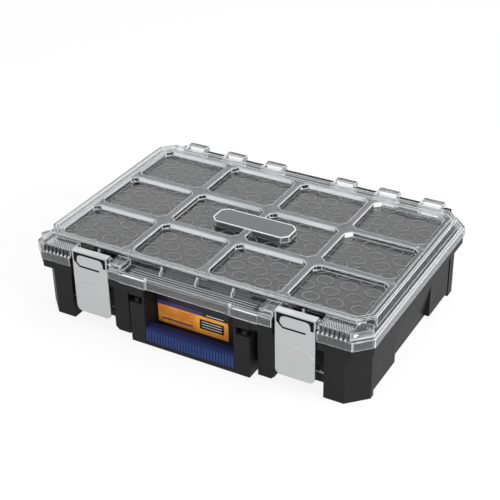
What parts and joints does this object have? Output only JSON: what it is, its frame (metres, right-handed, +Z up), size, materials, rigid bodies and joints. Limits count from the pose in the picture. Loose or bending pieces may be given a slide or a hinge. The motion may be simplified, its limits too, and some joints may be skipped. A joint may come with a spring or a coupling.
{
  "type": "compartment organiser case",
  "caption": "Flat carrying case with a clear hinged lid over lift-out bins, steel front latches and a padded grip in a recess of the black tray.",
  "frame": {"origin": "on the floor under the middle of the case's outline", "axes": "+X along the front to the right, +Y from the front to the hinge side, +Z up"},
  "size_m": [0.48, 0.342, 0.11],
  "materials": {
    "tray_plastic": "moulded, satin",
    "bin_plastic": "moulded, satin",
    "lid_plastic": "clear, moulded",
    "seal_rubber": "extruded, matt",
    "grip_rubber": "moulded, ribbed front",
    "label_film": "printed film, blank",
    "latch_steel": "zinc plated, brushed",
    "pin_steel": "drawn wire"
  },
  "bodies": {
    "case": {"base_tray": "tray_plastic", "handle_grip": "grip_rubber", "front_label": "label_film", "hinge_pin_left": "pin_steel", "hinge_pin_right": "pin_steel", "latch_pin_left": "pin_steel", "latch_pin_right": "pin_steel", "bin_row_1_column_1": "bin_plastic", "bin_row_1_column_2": "bin_plastic", "bin_row_1_column_3": "bin_plastic", "bin_row_1_column_4": "bin_plastic", "bin_row_2_column_1": "bin_plastic", "bin_row_2_column_2": "bin_plastic", "bin_row_2_column_3": "bin_plastic", "bin_row_2_column_4": "bin_plastic", "bin_row_3_column_1": "bin_plastic", "bin_row_3_column_2": "bin_plastic", "bin_row_3_column_3": "bin_plastic", "bin_row_3_column_4": "bin_plastic"},
    "lid": {"lid": "lid_plastic", "lid_seal": "seal_rubber"},
    "latch_left": {"latch_plate_left": "latch_steel"},
    "latch_right": {"latch_plate_right": "latch_steel"}
  },
  "joints": [
    {"name": "lid_hinge", "type": "hinge", "parent": "case", "child": "lid", "pos_m": [0, 0.1655, 0.0995], "axis": [-1, 0, 0], "range_deg": [0, 105]},
    {"name": "latch_left_pivot", "type": "hinge", "parent": "case", "child": "latch_left", "pos_m": [-0.1455, -0.156, 0.033], "axis": [1, 0, 0], "range_deg": [0, 90]},
    {"name": "latch_right_pivot", "type": "hinge", "parent": "case", "child": "latch_right", "pos_m": [0.1455, -0.156, 0.033], "axis": [1, 0, 0], "range_deg": [0, 90]}
  ]
}
